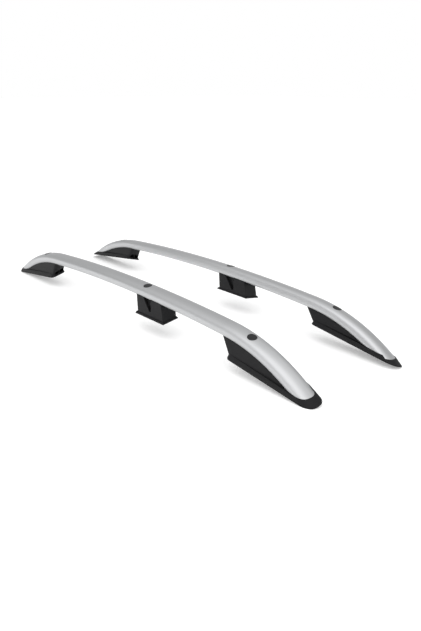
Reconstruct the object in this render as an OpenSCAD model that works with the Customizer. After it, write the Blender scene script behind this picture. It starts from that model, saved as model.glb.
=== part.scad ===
// Pair of roof side rails for a van or an estate car. Each rail is one bent oval aluminium tube
// carried clear of the roof on three hollow moulded feet, with a plug over each fixing point.
// +X is the front, +Z is up, and the left rail lies at +Y as the mirror image of the right one.
// The origin is on the ground plane, halfway between the rails and halfway along them.

/* [Pair] */
// Distance between the centre planes of the two rails
pair_gap = 350; // [300:5:420]
// Length of one rail over the tips of its end feet
rail_len = 1598; // [1500:2:1700]

/* [Tube] */
// Width of the oval section
tube_w = 56; // [53:0.5:58]
// Height of the oval section
tube_h = 35.8; // [33:0.2:38]
// Wall of the extrusion
tube_wall = 2.4; // [1.6:0.2:3.2]
// Fullness of the oval, where 2 is an ellipse
oval_power = 2.5; // [2.2:0.1:2.8]
// Outward lean of the section
tube_lean = 8.5; // [5:0.5:11]
// Radius of the long bow between the end bends
bow_r = 6900; // [6500:100:7500]
// Radius of the bend at each end
bend_r = 545; // [535:1:555]
// Length from the start of a bend to the tip of its foot
end_run = 323; // [318:1:328]
// Height of the centreline at the crest above the base of the middle foot
crest_h = 72.8; // [68:0.4:80]

/* [End feet] */
// Length of the base
foot_len = 311; // [300:1:320]
// Width of the base
foot_w = 61.6; // [60:0.4:64]
// Length of the rounded nose
nose_len = 46.6; // [40:0.4:54]
// Radius of the inner corners of the base
foot_corner_r = 17; // [12:1:20]
// Depth of the nose tip below the centreline where the bend starts
tip_drop = 106.5; // [105:0.5:108]
// Slope of the base towards its tip
foot_slope = 7.4; // [7:0.1:8]
// Outward fall of the base, which follows the roof
foot_fall = 15; // [12:0.5:16]
// Height of the skirt over the base
skirt_h = 15; // [12:0.5:17]
// Width of the skirt's slanted face along the body
skirt_flare = 5; // [3:0.5:7]
// Distance from the tip of the base back to the rounded front of the body
body_back = 50; // [46:1:60]
// Step between the skirt and the body
body_step = 0.6; // [0.4:0.1:1.5]
// Slant of the inner end face
foot_undercut = 18; // [10:1:22]
// Width of the body under the tube
foot_top_w = 45; // [40:1:48]

/* [Middle foot] */
// Place of its centre in front of the rail's centre
mid_x = 140; // [120:1:160]
// Length of the base
mid_len = 141; // [130:1:150]
// Width of the base
mid_w = 57; // [56:0.5:62]
// Outward fall of the base
mid_fall = 9; // [7:0.5:11]
// Height of the lip round the base
mid_lip_h = 5; // [3:0.5:8]
// Overhang of the lip
mid_lip = 2.2; // [1:0.2:3]
// Radius of the upright corners
mid_corner_r = 4; // [3:0.5:6]
// Lean of the body towards the rear
mid_slant = 5; // [0:0.5:8]
// Width of the body under the tube
mid_top_w = 50; // [47:0.5:51]
// Depth of the finger recess in each side
recess_depth = 8; // [5:0.5:9]
// Width of the recess at the top
recess_top = 22; // [16:1:26]
// Width of the recess at its rounded foot
recess_foot = 10; // [6:1:14]
// Height of the recess's foot above the base
recess_rise = 25; // [20:1:32]

/* [Moulding] */
// Wall of the feet
foot_wall = 3.2; // [2.4:0.2:4]
// Thickness of the ribs inside the feet
rib_t = 2.4; // [1.8:0.2:3]
// Wall round the tube at the nose
collar_wall = 1.6; // [1.2:0.2:2.2]
// Height of the tube's cut end above the base
end_seat = 6; // [5:0.5:8]

/* [Fixing points] */
// Distance of the end fixings ahead of the back edge of the base
end_fix_back = 74.5; // [67:0.5:83]
// Distance of the middle fixing behind the centre of the middle foot
mid_fix_back = 40.6; // [36:0.2:46]
// Diameter of the access hole in the top of the tube
access_d = 28; // [24:0.5:29]
// How far a plug stands above the tube
plug_proud = 0.6; // [0.2:0.1:1.2]
// Thickness of a plug's cover
plug_t = 2; // [1.6:0.2:2.6]
// Length of a plug's spring legs below the top of the tube
plug_leg = 9; // [7:0.5:11]
// Diameter of the fixing bolts that the feet take
bolt_d = 8; // [6:1:8]
// Outer diameter of the steel spacer sleeves
sleeve_d = 15; // [13:0.5:17]
// Wall of the moulded boss round a sleeve
boss_wall = 3; // [2:0.5:4]
// Length of the steel base plates
plate_l = 46; // [36:1:56]
// Width of the steel base plates
plate_w = 32; // [26:1:34]
// Thickness of the steel base plates
plate_t = 3; // [2:0.5:4]
// Thickness of the rubber pads
pad_t = 2; // [1.5:0.5:3]
// Width of the moulded rim round a pad
pad_margin = 1.8; // [1.4:0.2:2.6]

/* [Foot screws] */
// Distance of the end foot screws behind the tip
end_screw_back = 160; // [150:1:176]
// Distance of the middle foot screw ahead of the centre of the foot
mid_screw_ahead = 38; // [30:1:44]
// Thread diameter of the foot screws
screw_d = 4.2; // [3.5:0.1:5]
// Diameter of the screw heads
screw_head_d = 8.4; // [7:0.2:9]
// Height of the screw heads
screw_head_h = 2.8; // [2:0.2:3.4]
// Length of a screw under its head
screw_len = 13; // [11:0.5:16]

/* [Clearances] */
// Gap between the tube and the feet, and round each fitted piece
fit = 0.3; // [0.2:0.05:0.5]
// Gap round a bolt in its hole
bolt_gap = 0.3; // [0.2:0.05:0.6]

/* [Hidden] */

aluminium = "silver";
moulding = "#2b2b2d";
rubber = "#1a1a1a";
steel = "#9a9ca0";

half_len = rail_len / 2;
oval_a = tube_w / 2;
oval_b = tube_h / 2;
far = 400;
thin = 0.5;

// Centreline of the tube: the bow, then a bend at each end
bow_x = half_len - end_run;
bow_end = asin(bow_x / bow_r);
bow_z = crest_h - bow_r * (1 - cos(bow_end));

function line_angle(x) =
    x < bow_x ? asin(x / bow_r) : asin(sin(bow_end) + (x - bow_x) / bend_r);
function line_z(x) =
    x < bow_x ? crest_h - bow_r * (1 - cos(line_angle(x))) :
    bow_z - bend_r * (cos(bow_end) - cos(line_angle(x)));
bend_turn = line_angle(half_len + 10) - bow_end;

// Directions of the section at a place on the centreline: up through it and along it
function up_dir(x) = [
    sin(line_angle(x)) * cos(tube_lean),
    -sin(tube_lean),
    cos(line_angle(x)) * cos(tube_lean)
];
function along_dir(x) = [cos(line_angle(x)), 0, -sin(line_angle(x))];
function across_dir(x) = cross(up_dir(x), along_dir(x));
function line_point(x) = [x, 0, line_z(x)];

// Base planes: a point on each and its normal
tip_z = bow_z - tip_drop;
foot_tilt = atan(tan(foot_fall) * cos(foot_slope));
foot_point = [half_len, 0, tip_z];
foot_normal = [
    sin(foot_slope) * cos(foot_tilt),
    -sin(foot_tilt),
    cos(foot_slope) * cos(foot_tilt)
];
mid_point = [mid_x, 0, 0];
mid_normal = [0, -sin(mid_fall), cos(mid_fall)];

function round_power(v) = sign(v) * pow(abs(v), 2 / oval_power);
function nose_point(width, tip, nose, t) =
    [-tip - nose * (1 - round_power(cos(t))), width / 2 * round_power(sin(t))];

// The lowest point of the part sets the ground plane
nose_turns = [-90:7.5:90];
function base_height(p) =
    tip_z - sin(foot_slope) * p[0] + cos(foot_slope) * sin(foot_tilt) * p[1];
end_low = min([for (t = nose_turns) base_height(nose_point(foot_w, 0, nose_len, t))]);
mid_low = -mid_w / 2 * sin(mid_fall);
ground = min(end_low, mid_low);

// Fixing points: distance from the centreline down to the base plane, and to the top of the plate
end_fix_x = half_len - foot_len + end_fix_back;
mid_fix_x = mid_x - mid_fix_back;
function plane_depth(x, point, normal) = (line_point(x) - point) * normal / (up_dir(x) * normal);
function plate_rise(x, normal) =
    (pad_t + fit + plate_l / 2 * abs(along_dir(x) * normal)
        + plate_w / 2 * abs(across_dir(x) * normal)) / (up_dir(x) * normal);
end_depth = plane_depth(end_fix_x, foot_point, foot_normal);
mid_depth = plane_depth(mid_fix_x, mid_point, mid_normal);
end_plate = end_depth - plate_rise(end_fix_x, foot_normal) - plate_t;
mid_plate = mid_depth - plate_rise(mid_fix_x, mid_normal) - plate_t;
sleeve_top = oval_b + fit + 1;
bolt_r = bolt_d / 2 + bolt_gap;

// Foot screws
end_screw_x = half_len - end_screw_back;
mid_screw_x = mid_x + mid_screw_ahead;
screw_seat = oval_b + fit + foot_wall;

function oval_point(a, b, t) = [a * round_power(cos(t)), b * round_power(sin(t))];
function lean_point(p) = [
    p[0] * sin(tube_lean) + p[1] * cos(tube_lean),
    p[1] * sin(tube_lean) - p[0] * cos(tube_lean)
];

// The leaned section, with its height along the first axis
module oval(grow) {
    polygon([for (i = [0:47])
        lean_point(oval_point(oval_a + grow, oval_b + grow, 7.5 * i + 3.75))]);
}

module hollow_oval() {
    difference() {
        oval(0);
        oval(-tube_wall);
    }
}

// Frame where the bow meets the front bend, and arcs of a section back and ahead from its origin
module at_seam() {
    translate([bow_x, 0, bow_z]) rotate([0, bow_end, 0]) children();
}

module arc_back(radius, turn) {
    translate([0, 0, -radius]) rotate([90, 0, 0]) rotate([0, 0, 90])
        rotate_extrude(angle = turn, $fn = 900)
            translate([radius, 0]) children();
}

module arc_ahead(radius, turn) {
    mirror([1, 0, 0]) arc_back(radius, turn) children();
}

module both_ends() {
    children();
    mirror([1, 0, 0]) children();
}

// The tube's form over an end foot, with the bend carried back past the foot's inner end
module end_form(grow) {
    back_turn = 6;
    at_seam() translate([0, 0, -bend_r]) rotate([0, -back_turn, 0]) translate([0, 0, bend_r])
        arc_ahead(bend_r, bend_turn + back_turn) oval(grow);
}

// The tube's form over the middle foot
module mid_form(grow) {
    half_turn = asin((mid_len / 2 + 17) / bow_r);
    translate([0, 0, crest_h - bow_r]) rotate([0, line_angle(mid_x) + half_turn, 0])
        translate([0, 0, bow_r]) arc_back(bow_r, 2 * half_turn) oval(grow);
}

// A straight length of the tube's form, centred at a place on the centreline
module straight_form(x, length, grow) {
    translate(line_point(x)) rotate([0, 90 + line_angle(x), 0])
        linear_extrude(length, center = true) rotate([0, 0, 180]) oval(grow);
}

// Frames: on the centreline, on an end foot's base and on the middle foot's base
module at_line(x) {
    translate(line_point(x)) rotate([0, line_angle(x), 0]) rotate([tube_lean, 0, 0]) children();
}

module at_foot() {
    translate(foot_point) rotate([foot_tilt, foot_slope, 0]) children();
}

module at_mid() {
    translate(mid_point) rotate([mid_fall, 0, 0]) children();
}

// Plan of an end foot: a rounded nose and two round inner corners
module nose_plan(width, tip, back, nose, corner) {
    inner = width / 2 - corner;
    polygon(concat(
        [for (t = nose_turns) nose_point(width, tip, nose, t)],
        [for (t = [90:10:180]) [-back + corner + corner * cos(t), inner + corner * sin(t)]],
        [for (t = [180:10:270]) [-back + corner + corner * cos(t), -inner + corner * sin(t)]]
    ));
}

module base_plan(inset) {
    nose_plan(foot_w - 2 * inset, inset, foot_len - inset, nose_len - inset, foot_corner_r - inset);
}

// Plan of the body at a height over the base, moved inboard so that the body stands upright
module body_plan(side, rise) {
    translate([0, rise * tan(foot_tilt)])
        nose_plan(foot_w - 2 * side, body_back + side, foot_len - side, nose_len, foot_corner_r - side);
}

module top_plan(inset) {
    lead = (line_z(half_len - foot_len) - tip_z) * tan(foot_undercut);
    translate([half_len, 0]) nose_plan(foot_top_w - 2 * inset, body_back + inset,
        foot_len + lead - skirt_flare - inset, nose_len, foot_corner_r - skirt_flare - inset);
}

// All that lies under the centreline, lowered by a depth, over an end foot
module under_line(depth) {
    start = half_len - foot_len - 60;
    step = (foot_len + 60) / 40;
    rotate([90, 0, 0]) linear_extrude(far, center = true)
        polygon(concat(
            [for (i = [0:40]) [start + i * step, line_z(start + i * step) - depth]],
            [[half_len, tip_z - far], [start, tip_z - far]]
        ));
}

// The drafted body between the skirt and the tube, or its hollow when inset
module body_block(inset, rise) {
    hull() {
        at_foot() translate([0, 0, rise]) linear_extrude(thin)
            body_plan(skirt_flare + body_step + inset, rise);
        translate([0, 0, line_z(half_len - foot_len)]) linear_extrude(thin) top_plan(inset);
    }
}

// The flared skirt, which closes round the tube at the nose
module skirt_block() {
    hull() {
        at_foot() linear_extrude(thin) base_plan(0);
        at_foot() translate([0, 0, skirt_h - thin]) linear_extrude(thin)
            body_plan(skirt_flare, skirt_h);
        intersection() {
            end_form(fit + collar_wall);
            at_foot() translate([-far / 2, -far / 2, skirt_h - thin]) cube([far, far, thin]);
        }
    }
}

// Room for the tube, which ends over the floor of the cup
module end_room() {
    difference() {
        end_form(fit);
        at_foot() translate([-far, -far, end_seat - fit - far]) cube([2 * far, 2 * far, far]);
    }
}

module boss(depth) {
    translate([0, 0, -depth]) cylinder(d = sleeve_d + 2 * fit + 2 * boss_wall, h = depth, $fn = 48);
}

// The hollow of an end foot, with its ribs and bosses left standing
module foot_hollow() {
    difference() {
        intersection() {
            body_block(foot_wall, -1);
            under_line(oval_b + fit + foot_wall);
        }
        at_line(end_fix_x) boss(end_plate);
        for (back = [0.32, 0.62, 0.9])
            translate([half_len - back * foot_len, 0, 0])
                cube([rib_t, far, far], center = true);
        translate([half_len - foot_len / 2, 0, 0]) cube([foot_len, rib_t, far], center = true);
    }
}

// Room under the moulding for the pad, the plate, the sleeve and the screw
module foot_seats(x, plate, screw_x) {
    at_line(x) {
        translate([0, 0, -plate - far / 2])
            cube([plate_l + 2 * fit, plate_w + 2 * fit, far], center = true);
        translate([0, 0, -plate - 1]) cylinder(d = sleeve_d + 2 * fit, h = far, $fn = 48);
    }
    at_line(screw_x) {
        translate([0, 0, -screw_seat - far]) cylinder(d = screw_head_d + 3, h = far, $fn = 40);
        translate([0, 0, -screw_seat - 1]) cylinder(d = screw_d + 2 * fit, h = far, $fn = 32);
    }
}

module front_foot() {
    difference() {
        union() {
            skirt_block();
            intersection() {
                body_block(0, skirt_h / 3);
                under_line(0);
            }
        }
        end_room();
        foot_hollow();
        at_foot() translate([0, 0, -1]) linear_extrude(pad_t + 1) base_plan(pad_margin);
        foot_seats(end_fix_x, end_plate, end_screw_x);
        at_foot() translate([-far, -far, -far]) cube([2 * far, 2 * far, far]);
    }
}

module corner_plan(length, width, corner) {
    for (sx = [-1, 1], sy = [-1, 1])
        translate([sx * (length / 2 - corner), sy * (width / 2 - corner)])
            circle(r = corner, $fn = 32);
    square([length - 2 * corner, width], center = true);
    square([length, width - 2 * corner], center = true);
}

module mid_block(inset, sink) {
    top_z = line_z(mid_x);
    hull() {
        at_mid() translate([0, 0, -sink]) linear_extrude(thin)
            corner_plan(mid_len - 2 * mid_lip - 2 * inset, mid_w - 2 * mid_lip - 2 * inset,
                mid_corner_r - inset / 2);
        translate([mid_x - top_z * tan(mid_slant), 0, top_z]) linear_extrude(thin)
            corner_plan(mid_len - 2 * mid_lip - 2 * inset, mid_top_w - 2 * inset,
                mid_corner_r - inset / 2);
    }
}

module mid_lip_block() {
    hull() {
        at_mid() linear_extrude(thin) corner_plan(mid_len, mid_w, mid_corner_r);
        at_mid() translate([0, 0, mid_lip_h - thin]) linear_extrude(thin)
            corner_plan(mid_len - 2 * mid_lip, mid_w - 2 * mid_lip, mid_corner_r);
    }
}

module under_mid(depth) {
    start = mid_x - mid_len;
    step = mid_len / 5;
    rotate([90, 0, 0]) linear_extrude(far, center = true)
        polygon(concat(
            [for (i = [0:10]) [start + i * step, line_z(start + i * step) - depth]],
            [[mid_x + mid_len, -far], [start, -far]]
        ));
}

// Outline of the recess seen from the side: wide under the tube, with a round foot
module recess_outline(grow) {
    foot_r = recess_foot / 2 + grow;
    right = foot_r;
    polygon(concat(
        [for (t = [180:15:360]) [foot_r * cos(t), recess_rise + foot_r * sin(t) + recess_foot / 2]],
        [[right, crest_h], [right - recess_top - 2 * grow, crest_h]]
    ));
}

module side_recesses(grow) {
    inner = mid_w / 2 - mid_lip - recess_depth - grow;
    difference() {
        translate([mid_x, 0, 0]) rotate([90, 0, 0]) linear_extrude(far, center = true)
            recess_outline(grow);
        translate([mid_x, 0, 0]) cube([far, 2 * inner, far], center = true);
    }
}

module mid_hollow() {
    difference() {
        intersection() {
            mid_block(foot_wall, 1);
            under_mid(oval_b + fit + foot_wall);
        }
        at_line(mid_fix_x) boss(mid_plate);
        side_recesses(foot_wall);
        for (ahead = [-0.05, 0.22])
            translate([mid_x + ahead * mid_len, 0, 0]) cube([rib_t, far, far], center = true);
    }
}

module middle_foot() {
    difference() {
        union() {
            mid_lip_block();
            intersection() {
                mid_block(0, 0);
                under_mid(0);
            }
        }
        mid_form(fit);
        mid_hollow();
        side_recesses(0);
        at_mid() translate([0, 0, -1]) linear_extrude(pad_t + 1)
            corner_plan(mid_len - 2 * pad_margin, mid_w - 2 * pad_margin, mid_corner_r - 1);
        foot_seats(mid_fix_x, mid_plate, mid_screw_x);
        at_mid() translate([-far, -far, -far]) cube([2 * far, 2 * far, far]);
    }
}

// Holes at a fixing point: wide in the top wall, and for the bolt in the bottom wall
module access_holes(x) {
    at_line(x) {
        cylinder(d = access_d, h = tube_h, $fn = 64);
        translate([0, 0, -tube_h]) cylinder(r = bolt_r + 1, h = tube_h, $fn = 48);
    }
}

module screw_hole(x) {
    at_line(x) translate([0, 0, -tube_h]) cylinder(d = screw_d + fit, h = tube_h, $fn = 32);
}

// The front half of the tube, cut at the rail's centre
module half_tube() {
    intersection() {
        at_seam() {
            arc_back(bow_r, bow_end * 4 / 3) hollow_oval();
            arc_ahead(bend_r, bend_turn) hollow_oval();
        }
        translate([0, -far, -far]) cube([rail_len, 2 * far, 2 * far]);
    }
}

module rail_tube() {
    difference() {
        both_ends() half_tube();
        both_ends() {
            at_foot() translate([-far, -far, end_seat - far]) cube([2 * far, 2 * far, far]);
            access_holes(end_fix_x);
            screw_hole(end_screw_x);
        }
        access_holes(mid_fix_x);
        screw_hole(mid_screw_x);
    }
}

// A plug: a cover that follows the tube, a short ring and two spring legs with barbs
module plug_body(x) {
    ring_d = access_d - 2 * fit;
    barb = oval_b - tube_wall - fit;
    at_line(x) {
        difference() {
            translate([0, 0, barb - 1]) cylinder(d = ring_d, h = tube_h, $fn = 64);
            translate([0, 0, 0]) cylinder(d = ring_d - 4, h = oval_b - plug_t, $fn = 64);
        }
        for (side = [-1, 1])
            intersection() {
                difference() {
                    translate([0, 0, oval_b - plug_leg]) cylinder(d = ring_d, h = plug_leg - 1, $fn = 64);
                    cylinder(d = ring_d - 4, h = oval_b, $fn = 64);
                }
                translate([side * ring_d / 2, 0, 0]) cube([8, 7, far], center = true);
            }
    }
}

module plug(x) {
    intersection() {
        plug_body(x);
        straight_form(x, 2 * access_d, plug_proud);
    }
}

module end_pad() {
    difference() {
        at_foot() linear_extrude(pad_t) base_plan(pad_margin + fit);
        at_line(end_fix_x) translate([0, 0, -far]) cylinder(r = bolt_r + 3, h = far, $fn = 48);
    }
}

module mid_pad() {
    difference() {
        at_mid() linear_extrude(pad_t)
            corner_plan(mid_len - 2 * pad_margin - 2 * fit, mid_w - 2 * pad_margin - 2 * fit,
                mid_corner_r - 1);
        at_line(mid_fix_x) translate([0, 0, -far]) cylinder(r = bolt_r + 3, h = far, $fn = 48);
    }
}

module base_plate(x, depth) {
    at_line(x) translate([0, 0, -depth - plate_t]) difference() {
        linear_extrude(plate_t) corner_plan(plate_l, plate_w, 4);
        translate([0, 0, -1]) cylinder(r = bolt_r + 0.5, h = plate_t + 2, $fn = 48);
    }
}

module sleeve(x, depth) {
    at_line(x) translate([0, 0, -depth]) difference() {
        cylinder(d = sleeve_d, h = depth - sleeve_top, $fn = 64);
        translate([0, 0, -1]) cylinder(r = bolt_r, h = depth, $fn = 64);
    }
}

module sleeves() {
    both_ends() sleeve(end_fix_x, end_plate);
    sleeve(mid_fix_x, mid_plate);
}

module screw(x) {
    at_line(x) translate([0, 0, -screw_seat]) {
        cylinder(d = screw_d, h = screw_len, $fn = 32);
        translate([0, 0, -screw_head_h]) difference() {
            cylinder(d = screw_head_d, h = screw_head_h, $fn = 40);
            translate([0, 0, -1]) cylinder(d = 3.6, h = 2.2, $fn = 6);
        }
    }
}

module screws() {
    both_ends() screw(end_screw_x);
    screw(mid_screw_x);
}

// Places of the two rails and of the rear end of each
module right() {
    translate([0, -pair_gap / 2, -ground]) children();
}

module left() {
    mirror([0, 1, 0]) right() children();
}

module rear() {
    mirror([1, 0, 0]) children();
}

color(aluminium) right() rail_tube();  // right_rail_tube
color(aluminium) left() rail_tube();  // left_rail_tube
color(moulding) right() front_foot();  // right_front_foot
color(moulding) left() front_foot();  // left_front_foot
color(moulding) right() middle_foot();  // right_middle_foot
color(moulding) left() middle_foot();  // left_middle_foot
color(moulding) right() rear() front_foot();  // right_rear_foot
color(moulding) left() rear() front_foot();  // left_rear_foot
color(moulding) right() plug(end_fix_x);  // right_front_plug
color(moulding) left() plug(end_fix_x);  // left_front_plug
color(moulding) right() plug(mid_fix_x);  // right_middle_plug
color(moulding) left() plug(mid_fix_x);  // left_middle_plug
color(moulding) right() rear() plug(end_fix_x);  // right_rear_plug
color(moulding) left() rear() plug(end_fix_x);  // left_rear_plug
color(rubber) right() end_pad();  // right_front_pad
color(rubber) left() end_pad();  // left_front_pad
color(rubber) right() mid_pad();  // right_middle_pad
color(rubber) left() mid_pad();  // left_middle_pad
color(rubber) right() rear() end_pad();  // right_rear_pad
color(rubber) left() rear() end_pad();  // left_rear_pad
color(steel) right() base_plate(end_fix_x, end_plate);  // right_front_base_plate
color(steel) left() base_plate(end_fix_x, end_plate);  // left_front_base_plate
color(steel) right() base_plate(mid_fix_x, mid_plate);  // right_middle_base_plate
color(steel) left() base_plate(mid_fix_x, mid_plate);  // left_middle_base_plate
color(steel) right() rear() base_plate(end_fix_x, end_plate);  // right_rear_base_plate
color(steel) left() rear() base_plate(end_fix_x, end_plate);  // left_rear_base_plate
color(steel) right() sleeves();  // right_spacer_sleeves
color(steel) left() sleeves();  // left_spacer_sleeves
color(steel) right() screws();  // right_foot_screws
color(steel) left() screws();  // left_foot_screws
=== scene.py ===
# A pair of roof side rails: silver satin aluminium tubes on black moulded feet, seen on a pale floor.
import math

import bmesh
import bpy
from mathutils import Matrix, Vector


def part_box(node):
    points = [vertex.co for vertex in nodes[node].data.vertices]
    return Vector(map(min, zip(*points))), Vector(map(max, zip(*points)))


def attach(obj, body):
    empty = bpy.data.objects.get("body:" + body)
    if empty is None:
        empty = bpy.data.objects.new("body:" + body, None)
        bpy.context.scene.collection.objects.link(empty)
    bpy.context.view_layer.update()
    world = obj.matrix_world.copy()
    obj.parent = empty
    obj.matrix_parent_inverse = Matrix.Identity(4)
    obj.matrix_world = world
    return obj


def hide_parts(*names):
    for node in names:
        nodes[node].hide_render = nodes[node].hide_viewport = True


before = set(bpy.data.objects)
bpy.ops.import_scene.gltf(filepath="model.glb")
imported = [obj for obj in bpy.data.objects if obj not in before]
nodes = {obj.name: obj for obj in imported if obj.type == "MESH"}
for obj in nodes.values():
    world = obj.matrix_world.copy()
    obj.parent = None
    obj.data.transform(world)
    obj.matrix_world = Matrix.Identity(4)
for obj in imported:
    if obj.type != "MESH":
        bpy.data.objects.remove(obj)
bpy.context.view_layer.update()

# Camera. It stands ahead of the right rail and looks back and down over both rails,
# with the lens and the place that a fit to the two rails' outlines gave.
camera_place = Vector((1.640, -1.265, 0.7365))
camera_turn = math.radians(41.23)
camera_dip = math.radians(20.23)
camera_roll = math.radians(-0.39)
image_height_px = 631
focal_px = 625.4
sensor_mm = 36.0
nearest_seen = 0.02

view_way = Vector((
    -math.cos(camera_turn) * math.cos(camera_dip),
    math.sin(camera_turn) * math.cos(camera_dip),
    -math.sin(camera_dip),
))
level_right = Vector((math.sin(camera_turn), math.cos(camera_turn), 0.0))
level_down = view_way.cross(level_right)
right_way = math.cos(camera_roll) * level_right + math.sin(camera_roll) * level_down
down_way = math.cos(camera_roll) * level_down - math.sin(camera_roll) * level_right
lens = bpy.data.cameras.new("rail_camera")
lens.sensor_fit = "VERTICAL"
lens.sensor_height = sensor_mm
lens.lens = focal_px / image_height_px * sensor_mm
lens.clip_start = nearest_seen
camera = bpy.data.objects.new("rail_camera", lens)
bpy.context.scene.collection.objects.link(camera)
camera.matrix_world = Matrix.Translation(camera_place) @ Matrix(
    (right_way, -down_way, -view_way)
).transposed().to_4x4()
bpy.context.scene.camera = camera
bpy.context.scene.view_settings.view_transform = "Standard"

# Floor. A pale matt sheet that keeps the soft shadow of the rails. Away from them it glows up
# to plain white, so that it runs into the backdrop without an edge.
floor_reach = 30.0
floor_gap = 0.0005
floor_grey = 0.90
near_glow = 0.27
far_glow = 1.0
near_radius = 0.7
far_radius = 2.3


def new_material(name):
    """A material with an empty node tree and its output."""
    material = bpy.data.materials.new(name)
    material.use_nodes = True
    tree = material.node_tree
    tree.nodes.clear()
    return material, tree, tree.nodes.new("ShaderNodeOutputMaterial")


def surface_point(tree):
    """The place of a point on a piece, in metres."""
    return tree.nodes.new("ShaderNodeTexCoord").outputs["Object"]


def math_node(tree, operation, *values):
    """A math node with each input linked or set, and its output."""
    node = tree.nodes.new("ShaderNodeMath")
    node.operation = operation
    for slot, value in zip(node.inputs, values):
        if isinstance(value, bpy.types.NodeSocket):
            tree.links.new(value, slot)
        else:
            slot.default_value = value
    return node.outputs[0]


def eased(tree, value, start, end, low, high):
    """A number that runs smoothly from low to high while a value goes from start to end."""
    node = tree.nodes.new("ShaderNodeMapRange")
    node.interpolation_type = "SMOOTHSTEP"
    node.inputs["From Min"].default_value = start
    node.inputs["From Max"].default_value = end
    node.inputs["To Min"].default_value = low
    node.inputs["To Max"].default_value = high
    tree.links.new(value, node.inputs["Value"])
    return node.outputs[0]


def seen_by_eye_or_gloss(tree):
    """1 for rays from the camera and for those that gloss or glass sends on, and 0 for the rest."""
    rays = tree.nodes.new("ShaderNodeLightPath").outputs
    shiny = math_node(tree, "MAXIMUM", rays["Is Glossy Ray"], rays["Is Transmission Ray"])
    return math_node(tree, "MAXIMUM", rays["Is Camera Ray"], shiny)


bpy.ops.mesh.primitive_plane_add(size=2 * floor_reach, location=(0, 0, -floor_gap))
floor = bpy.context.object
floor.name = "studio_floor"
floor_look, tree, floor_out = new_material("studio_floor")
floor_paint = tree.nodes.new("ShaderNodeBsdfDiffuse")
floor_paint.inputs["Color"].default_value = (floor_grey, floor_grey, floor_grey, 1)
from_rails = tree.nodes.new("ShaderNodeVectorMath")
from_rails.operation = "LENGTH"
tree.links.new(surface_point(tree), from_rails.inputs[0])
rise = eased(tree, from_rails.outputs["Value"], near_radius, far_radius, near_glow, far_glow)
floor_glow = tree.nodes.new("ShaderNodeEmission")
tree.links.new(math_node(tree, "MULTIPLY", seen_by_eye_or_gloss(tree), rise), floor_glow.inputs["Strength"])
floor_sum = tree.nodes.new("ShaderNodeAddShader")
tree.links.new(floor_paint.outputs[0], floor_sum.inputs[0])
tree.links.new(floor_glow.outputs[0], floor_sum.inputs[1])
tree.links.new(floor_sum.outputs[0], floor_out.inputs["Surface"])
floor.data.materials.append(floor_look)

# Backdrop and lamp. The surround is white up to a little above the horizon. Higher up it stays pale
# on the near side, and on the far side it turns grey, which gives the tubes' tops their darker band.
# One large soft lamp hangs over them.
far_way = Vector((-math.cos(camera_turn), math.sin(camera_turn), 0.0))
far_greys = {0.11: 1.0, 0.22: 0.72, 0.36: 0.38, 0.50: 0.44, 0.66: 0.86, 0.85: 0.95}
near_greys = {0.28: 1.0, 0.50: 0.90, 0.85: 0.90}
side_blend = 0.35
lamp_place = Vector((0.9, -1.1, 2.6))
lamp_sides = (4.4, 3.2)
lamp_watts = 42.0


def blended(tree, value, first, second):
    """A colour between two, by a value."""
    node = tree.nodes.new("ShaderNodeMix")
    node.data_type = "RGBA"
    tree.links.new(value, node.inputs["Factor"])
    for slot, colour in zip(("A", "B"), (first, second)):
        if isinstance(colour, bpy.types.NodeSocket):
            tree.links.new(colour, node.inputs[slot])
        else:
            node.inputs[slot].default_value = colour
    return node.outputs["Result"]


def height_ramp(tree, height, greys):
    """Grey by height over the horizon, from a grey for each of a few heights."""
    ramp = tree.nodes.new("ShaderNodeValToRGB")
    stops = ramp.color_ramp.elements
    for level, grey in greys.items():
        stops.new(level).color = (grey, grey, grey, 1)
    stops.remove(stops[0])
    stops.remove(stops[-1])
    tree.links.new(height, ramp.inputs["Fac"])
    return ramp.outputs["Color"]


world = bpy.data.worlds.new("studio")
bpy.context.scene.world = world
world.use_nodes = True
tree = world.node_tree
tree.nodes.clear()
sky_way = tree.nodes.new("ShaderNodeTexCoord").outputs["Generated"]
sky_split = tree.nodes.new("ShaderNodeSeparateXYZ")
tree.links.new(sky_way, sky_split.inputs[0])
towards_far = tree.nodes.new("ShaderNodeVectorMath")
towards_far.operation = "DOT_PRODUCT"
towards_far.inputs[1].default_value = far_way
tree.links.new(sky_way, towards_far.inputs[0])
far_share = eased(tree, towards_far.outputs["Value"], -side_blend, side_blend, 0.0, 1.0)
near_ramp = height_ramp(tree, sky_split.outputs["Z"], near_greys)
far_ramp = height_ramp(tree, sky_split.outputs["Z"], far_greys)
surround = tree.nodes.new("ShaderNodeBackground")
tree.links.new(blended(tree, far_share, near_ramp, far_ramp), surround.inputs["Color"])
world_out = tree.nodes.new("ShaderNodeOutputWorld")
tree.links.new(surround.outputs[0], world_out.inputs["Surface"])

overhead = bpy.data.lights.new("overhead", "AREA")
overhead.shape = "RECTANGLE"
overhead.size, overhead.size_y = lamp_sides
overhead.energy = lamp_watts
overhead_lamp = bpy.data.objects.new("overhead", overhead)
bpy.context.scene.collection.objects.link(overhead_lamp)
overhead_lamp.location = lamp_place
overhead_lamp.rotation_euler = (-lamp_place).to_track_quat("-Z", "Y").to_euler()

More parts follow.
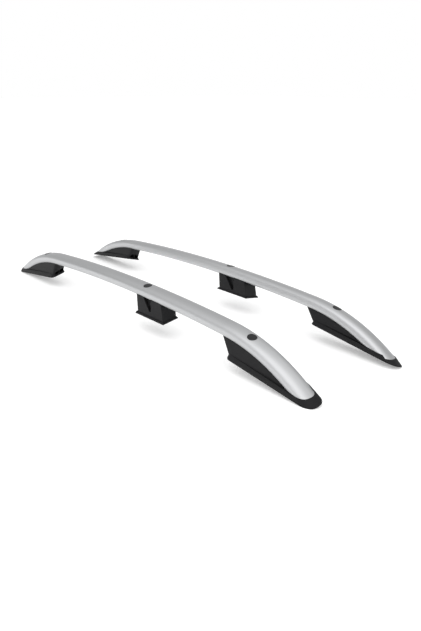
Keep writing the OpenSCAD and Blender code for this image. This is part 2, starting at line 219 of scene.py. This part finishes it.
# Rail tubes. Each is one length of extruded oval aluminium, bent by roll and die, blasted fine
# and satin anodised. Faint streaks from the extrusion die run along it, round the bends too.
sides = ("right", "left")
tube_silver = (0.50, 0.505, 0.515, 1)
tube_bright = (0.545, 0.55, 0.555, 1)
tube_roughness = (0.45, 0.51)
bow_radius = 6.9
bend_radius = 0.545
bend_start = 0.476
streak_scales = (1.6, 190.0)
die_line_scales = (9.0, 1500.0)
drawn_detail = 3.0
blasting_scale = 2600.0
blasting_bump = (0.10, 0.0001)
die_line_bump = (0.12, 0.0001)
noise_low = 0.3
noise_high = 0.7


def shader_of(tree, out, metallic=0.0):
    """The surface shader of a material, linked to its output."""
    shader = tree.nodes.new("ShaderNodeBsdfPrincipled")
    shader.inputs["Metallic"].default_value = metallic
    tree.links.new(shader.outputs[0], out.inputs["Surface"])
    return shader


def noise(tree, vector, scale, detail=2.0):
    """A noise texture's value over a vector."""
    node = tree.nodes.new("ShaderNodeTexNoise")
    node.inputs["Scale"].default_value = scale
    node.inputs["Detail"].default_value = detail
    tree.links.new(vector, node.inputs["Vector"])
    return node.outputs["Fac"]


def stretched(tree, value, low, high):
    """A number from low to high, over the middle of a noise, where most of it lies."""
    node = tree.nodes.new("ShaderNodeMapRange")
    node.inputs["From Min"].default_value = noise_low
    node.inputs["From Max"].default_value = noise_high
    node.inputs["To Min"].default_value = low
    node.inputs["To Max"].default_value = high
    tree.links.new(value, node.inputs["Value"])
    return node.outputs[0]


def bumped(tree, height, strength, distance, base=None):
    """A normal that a height raises, over another normal if there is one."""
    node = tree.nodes.new("ShaderNodeBump")
    node.inputs["Strength"].default_value = strength
    node.inputs["Distance"].default_value = distance
    tree.links.new(height, node.inputs["Height"])
    if base is not None:
        tree.links.new(base, node.inputs["Normal"])
    return node.outputs["Normal"]


def give_finish(piece, material):
    """Gives a CAD piece a material in place of its plain colour."""
    piece.data.materials.clear()
    piece.data.materials.append(material)


def fall(tree, run, radius):
    """How far an arc of a radius has fallen after a run from its crest."""
    return math_node(tree, "DIVIDE", math_node(tree, "MULTIPLY", run, run), 2 * radius)


def drawn_lines(tree, place, length_scale, cross_scale):
    """A noise drawn out along the tube, over a place along, across and above it."""
    join = tree.nodes.new("ShaderNodeCombineXYZ")
    for axis, value, scale in zip("XYZ", place, (length_scale, cross_scale, cross_scale)):
        tree.links.new(math_node(tree, "MULTIPLY", value, scale), join.inputs[axis])
    return noise(tree, join.outputs[0], 1.0, drawn_detail)


tube_look, tree, tube_out = new_material("satin_anodised_tube")
tube_shader = shader_of(tree, tube_out, metallic=1.0)
tube_point = surface_point(tree)
tube_split = tree.nodes.new("ShaderNodeSeparateXYZ")
tree.links.new(tube_point, tube_split.inputs[0])
along, across, above = (tube_split.outputs[axis] for axis in "XYZ")
past_start = math_node(tree, "SUBTRACT", math_node(tree, "ABSOLUTE", along), bend_start)
bend_run = math_node(tree, "MAXIMUM", past_start, 0.0)
both_falls = math_node(tree, "ADD", fall(tree, along, bow_radius), fall(tree, bend_run, bend_radius))
straightened = (along, across, math_node(tree, "ADD", above, both_falls))
streaks = drawn_lines(tree, straightened, *streak_scales)
die_lines = drawn_lines(tree, straightened, *die_line_scales)
tree.links.new(blended(tree, streaks, tube_silver, tube_bright), tube_shader.inputs["Base Color"])
tree.links.new(stretched(tree, die_lines, *tube_roughness), tube_shader.inputs["Roughness"])
blasted = bumped(tree, noise(tree, tube_point, blasting_scale), *blasting_bump)
tree.links.new(bumped(tree, die_lines, *die_line_bump, blasted), tube_shader.inputs["Normal"])
for side in sides:
    tube = nodes[f"{side}_rail_tube"]
    give_finish(tube, tube_look)

# Feet. Each is a hollow moulding in black glass-filled nylon with a fine spark-eroded grain and
# slightly rounded edges, screwed to the tube from below. In a recess and near the tube, where ambient
# occlusion finds shelter, painted shade darkens the colour to near black, and the surface turns fully dull.
foot_black = (0.005, 0.005, 0.006, 1)
foot_worn = (0.009, 0.009, 0.010, 1)
# Painted shade: the near-black colour that the occlusion mask lays into recesses and near the tube.
painted_recess_shade = (0.0015, 0.0015, 0.0015, 1)
painted_shade_reach = 0.022
foot_gloss = 0.20
foot_roughness = (0.50, 0.62)
foot_grain = (1500.0, 3.0)
foot_flow = (24.0, 3.0)
foot_grain_bump = (0.35, 0.00015)
foot_edge_radius = 0.0009
edge_samples = 4
painted_shade_samples = 8
weld_gap = 0.000002
smooth_angle = math.radians(20)


def rounded_edges(tree, radius):
    """A normal that runs round the edges of a piece."""
    node = tree.nodes.new("ShaderNodeBevel")
    node.samples = edge_samples
    node.inputs["Radius"].default_value = radius
    return node.outputs["Normal"]


foot_look, tree, foot_out = new_material("grained_black_moulding")
foot_shader = shader_of(tree, foot_out)
foot_shader.inputs["Specular IOR Level"].default_value = foot_gloss
foot_point = surface_point(tree)
grain = noise(tree, foot_point, *foot_grain)
moulded_black = blended(tree, noise(tree, foot_point, *foot_flow), foot_black, foot_worn)
# Painted shade: ambient occlusion over this reach darkens the base colour in recesses and near the tube, and
# also raises the roughness there.
painted_shade_occlusion = tree.nodes.new("ShaderNodeAmbientOcclusion")
painted_shade_occlusion.samples = painted_shade_samples
painted_shade_occlusion.inputs["Distance"].default_value = painted_shade_reach
openness_for_shade_and_dullness = stretched(tree, painted_shade_occlusion.outputs["AO"], 0.0, 1.0)
# The base colour runs from the painted shade in sheltered places to the moulding's own black in open ones.
tree.links.new(blended(tree, openness_for_shade_and_dullness, painted_recess_shade, moulded_black), foot_shader.inputs["Base Color"])
less_open = math_node(tree, "SUBTRACT", stretched(tree, grain, *foot_roughness), openness_for_shade_and_dullness)
tree.links.new(math_node(tree, "ADD", less_open, 1.0), foot_shader.inputs["Roughness"])
foot_normal = bumped(tree, grain, *foot_grain_bump, rounded_edges(tree, foot_edge_radius))
tree.links.new(foot_normal, foot_shader.inputs["Normal"])


def block(points):
    """A closed solid drawn tight round some points."""
    shape = bmesh.new()
    for point in points:
        shape.verts.new(point)
    bmesh.ops.convex_hull(shape, input=shape.verts)
    mesh = bpy.data.meshes.new("block")
    shape.to_mesh(mesh)
    shape.free()
    solid = bpy.data.objects.new("block", mesh)
    bpy.context.scene.collection.objects.link(solid)
    return solid


def reworked(node_name, piece_name, steps):
    """Makes a copy of a moulding, with blocks added to it and cut from it, that stands for it."""
    mesh = nodes[node_name].data.copy()
    old_normals = mesh.attributes.get("custom_normal")
    if old_normals is not None:
        mesh.attributes.remove(old_normals)
    shape = bmesh.new()
    shape.from_mesh(mesh)
    bmesh.ops.remove_doubles(shape, verts=shape.verts, dist=weld_gap)
    shape.to_mesh(mesh)
    shape.free()
    piece = bpy.data.objects.new(piece_name, mesh)
    bpy.context.scene.collection.objects.link(piece)
    for operation, solid in steps:
        change = piece.modifiers.new("change", "BOOLEAN")
        change.operation = operation
        change.solver = "EXACT"
        change.object = solid
    bpy.context.view_layer.update()
    done = piece.evaluated_get(bpy.context.evaluated_depsgraph_get())
    new_mesh = bpy.data.meshes.new_from_object(done)
    piece.modifiers.clear()
    piece.data = new_mesh
    for _, solid in steps:
        bpy.data.objects.remove(solid)
    new_mesh.shade_smooth()
    new_mesh.set_sharp_from_angle(angle=smooth_angle)
    new_mesh.materials.clear()
    new_mesh.materials.append(foot_look)
    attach(piece, "root")
    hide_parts(node_name)


# Rim of the cup that closes round the tube's end, moulded in one with the end foot. It lies lower
# than the skirt on the inboard side and over the nose, and runs back up to the skirt behind it.
# All of it is measured from the plane of the pad and from the tip of the foot.
rim_height = 0.0116
rim_roll = math.radians(8.0)
rim_pitch = math.radians(2.0)
rim_back = 0.050
rim_ramp = 0.016
skirt_height = 0.015
cut_height = 0.017
cut_side = 0.050
cut_ahead = 0.012
facing_down = -0.9


def rim_cut(side, end):
    """The block over the rim of one end foot, which is cut away."""
    inboard = 1 if side == "right" else -1
    ahead = 1 if end == "front" else -1
    pad_faces = nodes[f"{side}_{end}_pad"].data.polygons
    lower_faces = [face for face in pad_faces if face.normal.z < facing_down]
    under = max(lower_faces, key=lambda face: face.area)
    up = -under.normal
    forward = Vector((ahead * up.z, 0.0, -ahead * up.x)).normalized()
    inward = Vector((0.0, float(inboard), 0.0))
    inward = (inward - inward.dot(up) * up).normalized()
    low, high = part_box(f"{side}_{end}_foot")
    tube_low, tube_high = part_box(f"{side}_rail_tube")
    tip = Vector((high[0] if ahead > 0 else low[0], (tube_low[1] + tube_high[1]) / 2, 0.0))
    reach = tip - under.center
    tip.z = under.center.z - (reach.x * up.x + reach.y * up.y) / up.z

    def spot(back, across, height):
        return tip - back * forward + across * inward + height * up

    def rim(back, across):
        return rim_height + (rim_back - back) * math.tan(rim_pitch) - across * math.tan(rim_roll)

    ramp_foot = rim_back - rim_ramp
    outboard = (rim_height - skirt_height) / math.tan(rim_roll)
    points = []
    for across in (outboard, cut_side):
        points.append(spot(-cut_ahead, across, rim(-cut_ahead, across)))
        points.append(spot(ramp_foot, across, min(rim(ramp_foot, across), skirt_height)))
        points.append(spot(rim_back, across, skirt_height))
        points.append(spot(rim_back, across, cut_height))
        points.append(spot(-cut_ahead, across, cut_height))
    return block(points)


# Recess in each side of the middle foot, for a finger under the tube, moulded in one with the foot.
# It is wide at the top and narrows to a rounded foot, and a wall lines it inside the hollow foot.
# Heights are over the middle of the base, and depths are from the rail's centre plane.
base_fall = math.radians(9.0)
recess_floor = 0.0165
recess_wide = 0.050
recess_round = 0.006
recess_rise = 0.017
recess_slope = math.tan(math.radians(12.0))
recess_open = 0.05
axis_height = 0.0714
lining = 0.0032
lining_top = 0.0185
lining_side = 0.0238
round_steps = 12


def recess_block(side, facing, grow, top, inner, outer):
    """The recess on one side as a block, grown by a wall, from its floor out."""
    low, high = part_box(f"{side}_middle_foot")
    tube_low, tube_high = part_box(f"{side}_rail_tube")
    middle = (low[0] + high[0]) / 2
    rail_y = (tube_low[1] + tube_high[1]) / 2
    base = low[2] + (high[1] - low[1]) / 2 * math.tan(base_fall)
    radius = recess_round + grow
    outline = []
    for step in range(round_steps + 1):
        turn = math.pi * (1 + step / round_steps)
        outline.append((radius * math.cos(turn), recess_rise + recess_round + radius * math.sin(turn)))
    climb = top - recess_rise - recess_round
    outline.append((radius - climb * recess_slope, top))
    outline.append((-recess_wide + recess_round - grow, top))
    points = []
    for away in (inner, outer):
        points += [(middle + x, rail_y + facing * away, base + z) for x, z in outline]
    return block(points)


# Base of the middle foot, moulded in one with it: a lip that stands out all round over the rubber,
# and a front face that leans back, with a wall behind it inside the foot.
# The small lifts and trims keep faces that meet from lying in one plane.
lip_height = 0.0057
lip_out = 0.0015
lip_in = 0.0015
lip_edge = 0.001
lip_top_out = 0.0006
lip_top_in = 0.0032
side_lift = 0.00013
side_trim = 0.00017
end_lift = 0.00031
end_trim = 0.00023
front_set_back = 0.0022
front_lean = math.radians(13.0)
front_wall = 0.0032
moulded_wall = 0.0025
moulded_lean = math.radians(5.0)
pad_room = 0.0028
body_half_width = 0.0225
waste_side = 0.04
waste_ahead = 0.01


def base_frame(side):
    """Places over the base of one middle foot: ahead, out to the outboard edge, and up."""
    low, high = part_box(f"{side}_middle_foot")
    outboard = -1 if side == "right" else 1
    centre = Vector(((low[0] + high[0]) / 2, (low[1] + high[1]) / 2, 0.0))
    half_width = (high[1] - low[1]) / 2 / math.cos(base_fall)
    centre.z = low[2] + half_width * math.sin(base_fall)
    across = Vector((0.0, outboard * math.cos(base_fall), -math.sin(base_fall)))
    up = Vector((0.0, outboard * math.sin(base_fall), math.cos(base_fall)))

    def spot(x, y, z):
        return centre + Vector((x, 0.0, 0.0)) + y * across + z * up

    return spot, (high[0] - low[0]) / 2, half_width


def lip_section(edge, lift):
    """The lip's section at an edge of the base: distance out, height, and how far its ends pull in."""
    return [
        (edge - lip_in, lift, 0.0),
        (edge + lip_out, lift, 0.0),
        (edge + lip_out, lift + lip_edge, 0.0),
        (edge - lip_top_out, lip_height + lift, lip_top_in),
        (edge - lip_top_in, lip_height + lift, lip_top_in),
    ]


def lip_blocks(side):
    """Four beams round the base, each slanted in to the top of the lip."""
    spot, half_length, half_width = base_frame(side)
    beams = []
    for way in (-1, 1):
        beams.append(block([
            spot(tail * (half_length + lip_out - pull - side_trim), way * out, height)
            for tail in (-1, 1)
            for out, height, pull in lip_section(half_width, side_lift)
        ]))
        beams.append(block([
            spot(way * out, tail * (half_width + lip_out - pull - end_trim), height)
            for tail in (-1, 1)
            for out, height, pull in lip_section(half_length, end_lift)
        ]))
    return beams


def front_blocks(side):
    """The wall behind the leaning front face, and what is cut off before it."""
    spot, half_length, _ = base_frame(side)
    foot = half_length - front_set_back
    wall, waste = [], []
    for y in (-1, 1):
        for z in (pad_room, axis_height - lining_top):
            face = foot - z * math.tan(front_lean)
            back = foot - moulded_wall - z * math.tan(moulded_lean)
            upright = y * body_half_width - z * math.tan(base_fall)
            wall += [spot(face - front_wall, upright, z), spot(back, upright, z)]
        for z in (lip_height, axis_height):
            face = foot - z * math.tan(front_lean)
            waste += [spot(face, y * waste_side, z), spot(half_length + waste_ahead, y * waste_side, z)]
    return block(wall), block(waste)


for side in sides:
    for end in ("front", "rear"):
        reworked(f"{side}_{end}_foot", f"{side}_{end}_foot_moulding", [("DIFFERENCE", rim_cut(side, end))])
    front_inside, front_waste = front_blocks(side)
    steps = [("UNION", beam) for beam in lip_blocks(side)]
    steps += [("UNION", front_inside), ("DIFFERENCE", front_waste)]
    for facing in (-1, 1):
        steps.append(("UNION", recess_block(
            side, facing, lining, axis_height - lining_top, recess_floor - lining, lining_side
        )))
    for facing in (-1, 1):
        steps.append(("DIFFERENCE", recess_block(side, facing, 0.0, axis_height, recess_floor, recess_open)))
    reworked(f"{side}_middle_foot", f"{side}_middle_foot_moulding", steps)

# Plugs. Smooth black caps moulded in softer nylon, with a rounded rim, and pressed into the
# access holes over the bolts.
ends = ("front", "middle", "rear")
plug_black = (0.007, 0.007, 0.008, 1)
plug_soft = (0.011, 0.011, 0.012, 1)
plug_gloss = 0.30
plug_roughness = (0.36, 0.46)
plug_haze_scale = 160.0
plug_grain_scale = 2200.0
plug_grain_bump = (0.12, 0.0001)
plug_edge_radius = 0.0012

plug_look, tree, plug_out = new_material("smooth_black_plug")
plug_shader = shader_of(tree, plug_out)
plug_shader.inputs["Specular IOR Level"].default_value = plug_gloss
plug_point = surface_point(tree)
haze = noise(tree, plug_point, plug_haze_scale)
tree.links.new(blended(tree, haze, plug_black, plug_soft), plug_shader.inputs["Base Color"])
tree.links.new(stretched(tree, haze, *plug_roughness), plug_shader.inputs["Roughness"])
plug_grain = noise(tree, plug_point, plug_grain_scale)
plug_normal = bumped(tree, plug_grain, *plug_grain_bump, rounded_edges(tree, plug_edge_radius))
tree.links.new(plug_normal, plug_shader.inputs["Normal"])
for side in sides:
    for end in ends:
        plug = nodes[f"{side}_{end}_plug"]
        give_finish(plug, plug_look)

# Pads. Sheets of black cellular rubber, cut to the bases and let into the undersides of the feet,
# so that they lie on the paint.
pad_black = (0.012, 0.012, 0.012, 1)
pad_dusty = (0.022, 0.022, 0.021, 1)
pad_roughness = (0.80, 0.95)
pad_cells = (700.0, 4.0)
pad_cell_bump = (0.6, 0.0004)

pad_look, tree, pad_out = new_material("cellular_rubber_pad")
pad_shader = shader_of(tree, pad_out)
cells = noise(tree, surface_point(tree), *pad_cells)
tree.links.new(blended(tree, cells, pad_black, pad_dusty), pad_shader.inputs["Base Color"])
tree.links.new(stretched(tree, cells, *pad_roughness), pad_shader.inputs["Roughness"])
tree.links.new(bumped(tree, cells, *pad_cell_bump), pad_shader.inputs["Normal"])
for side in sides:
    for end in ends:
        pad = nodes[f"{side}_{end}_pad"]
        give_finish(pad, pad_look)

# Steel parts inside the feet. The base plates are laser cut, the spacer sleeves are cut from tube,
# the screws are cold headed, and all are zinc plated.
zinc_dull = (0.42, 0.43, 0.45, 1)
zinc_bright = (0.60, 0.61, 0.63, 1)
zinc_roughness = (0.30, 0.48)
zinc_spangle = (320.0, 3.0)
zinc_grain_scale = 1800.0
zinc_grain_bump = (0.2, 0.0001)
steel_edge_radius = 0.0004
steel_nodes = {"plate": [], "sleeve": [], "screw": []}

zinc_look, tree, zinc_out = new_material("zinc_plated_steel")
zinc_shader = shader_of(tree, zinc_out, metallic=1.0)
zinc_point = surface_point(tree)
spangle = noise(tree, zinc_point, *zinc_spangle)
tree.links.new(blended(tree, spangle, zinc_dull, zinc_bright), zinc_shader.inputs["Base Color"])
tree.links.new(stretched(tree, spangle, *zinc_roughness), zinc_shader.inputs["Roughness"])
zinc_grain = noise(tree, zinc_point, zinc_grain_scale)
zinc_normal = bumped(tree, zinc_grain, *zinc_grain_bump, rounded_edges(tree, steel_edge_radius))
tree.links.new(zinc_normal, zinc_shader.inputs["Normal"])
for side in sides:
    steel_nodes["plate"] += [nodes[f"{side}_{end}_base_plate"] for end in ends]
    steel_nodes["sleeve"].append(nodes[f"{side}_spacer_sleeves"])
    steel_nodes["screw"].append(nodes[f"{side}_foot_screws"])
for slot, pieces in steel_nodes.items():
    for piece in pieces:
        give_finish(piece, zinc_look)
